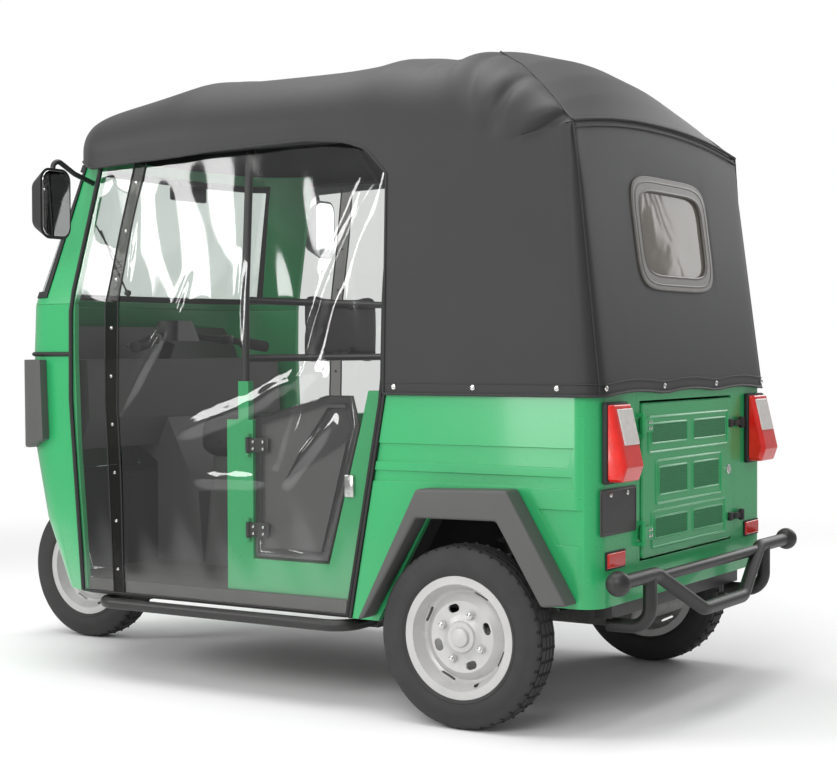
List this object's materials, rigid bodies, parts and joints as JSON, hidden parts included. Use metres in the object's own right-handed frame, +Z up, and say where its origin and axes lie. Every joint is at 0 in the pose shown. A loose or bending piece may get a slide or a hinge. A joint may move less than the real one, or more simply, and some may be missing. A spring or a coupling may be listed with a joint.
{
  "type": "auto rickshaw",
  "caption": "Soft-top auto rickshaw on single front and paired rear wheels, with clear side curtains, half doors, louvred engine door and handlebar steering.",
  "frame": {"origin": "on the ground under the middle of the vehicle's box", "axes": "+X forward, +Y to the vehicle's left, +Z up"},
  "size_m": [2.6459, 1.538, 1.8887],
  "materials": {
    "body_green": "gloss enamel",
    "soft_top": "matt coated cloth",
    "black_steel": "satin powder coat",
    "dark_plastic": "grained moulding",
    "rubber": "matt",
    "tyre": "matt",
    "wheel_silver": "silver paint",
    "glass": "clear",
    "clear_vinyl": "clear sheet",
    "lamp_red": "gloss lens",
    "lamp_clear": "clear lens",
    "mirror": "silvered",
    "seat_vinyl": "grained vinyl",
    "plate_dark": "satin",
    "cast_metal": "as cast"
  },
  "bodies": {
    "body": {"front_cowl": "body_green", "screen_frame": "body_green", "quarter_left": "body_green", "quarter_right": "body_green", "rear_panel": "body_green", "side_panel_left": "body_green", "side_panel_right": "body_green", "partition": "body_green", "soft_top": "soft_top", "underframe": "black_steel", "floor_pan": "black_steel", "hood_frame": "black_steel", "rear_bumper": "black_steel", "step_bars": "black_steel", "rear_arms": "black_steel", "rear_springs": "black_steel", "seat_bulkhead": "black_steel", "wheelhouse": "dark_plastic", "dash_console": "dark_plastic", "driver_seat_base": "dark_plastic", "arch_flares": "dark_plastic", "arch_liners": "dark_plastic", "headlamp_housings": "dark_plastic", "mirrors": "dark_plastic", "screen_rubber": "rubber", "edge_bands": "rubber", "windscreen": "glass", "rear_window": "clear_vinyl", "curtain_left": "clear_vinyl", "curtain_right": "clear_vinyl", "tail_lamps": "lamp_red", "rear_reflectors": "lamp_red", "headlamp_lenses": "lamp_clear", "mirror_glasses": "mirror", "driver_cushion": "seat_vinyl", "driver_backrest": "seat_vinyl", "passenger_cushion": "seat_vinyl", "passenger_backrest": "seat_vinyl", "number_plate": "plate_dark", "engine_block": "cast_metal"},
    "steering": {"fork": "black_steel", "handlebar": "black_steel"},
    "front_wheel": {"front_rim": "wheel_silver", "front_tyre": "tyre"},
    "rear_left_wheel": {"rear_left_rim": "wheel_silver", "rear_left_tyre": "tyre"},
    "rear_right_wheel": {"rear_right_rim": "wheel_silver", "rear_right_tyre": "tyre"},
    "left_door": {"door_left": "black_steel"},
    "right_door": {"door_right": "black_steel"},
    "engine_door": {"engine_door": "body_green"}
  },
  "joints": [
    {"name": "steering_turn", "type": "hinge", "parent": "body", "child": "steering", "pos_m": [1.096, 0, 0.247], "axis": [-0.4226, 0, 0.9063], "range_deg": [-40, 40]},
    {"name": "front_wheel_spin", "type": "hinge", "parent": "steering", "child": "front_wheel", "pos_m": [1.076, 0, 0.247], "axis": [0, 1, 0], "continuous": true},
    {"name": "rear_left_wheel_spin", "type": "hinge", "parent": "body", "child": "rear_left_wheel", "pos_m": [-0.813, 0.591, 0.247], "axis": [0, 1, 0], "continuous": true},
    {"name": "rear_right_wheel_spin", "type": "hinge", "parent": "body", "child": "rear_right_wheel", "pos_m": [-0.813, -0.591, 0.247], "axis": [0, 1, 0], "continuous": true},
    {"name": "left_door_hinge", "type": "hinge", "parent": "body", "child": "left_door", "pos_m": [-0.062, 0.577, 0.613], "axis": [0, 0, -1], "range_deg": [0, 80], "deforming": ["curtain_left"]},
    {"name": "right_door_hinge", "type": "hinge", "parent": "body", "child": "right_door", "pos_m": [-0.062, -0.577, 0.613], "axis": [0, 0, 1], "range_deg": [0, 80], "deforming": ["curtain_right"]},
    {"name": "engine_door_hinge", "type": "hinge", "parent": "body", "child": "engine_door", "pos_m": [-1.209, 0.33, 0.66], "axis": [0, 0, -1], "range_deg": [0, 110]}
  ]
}
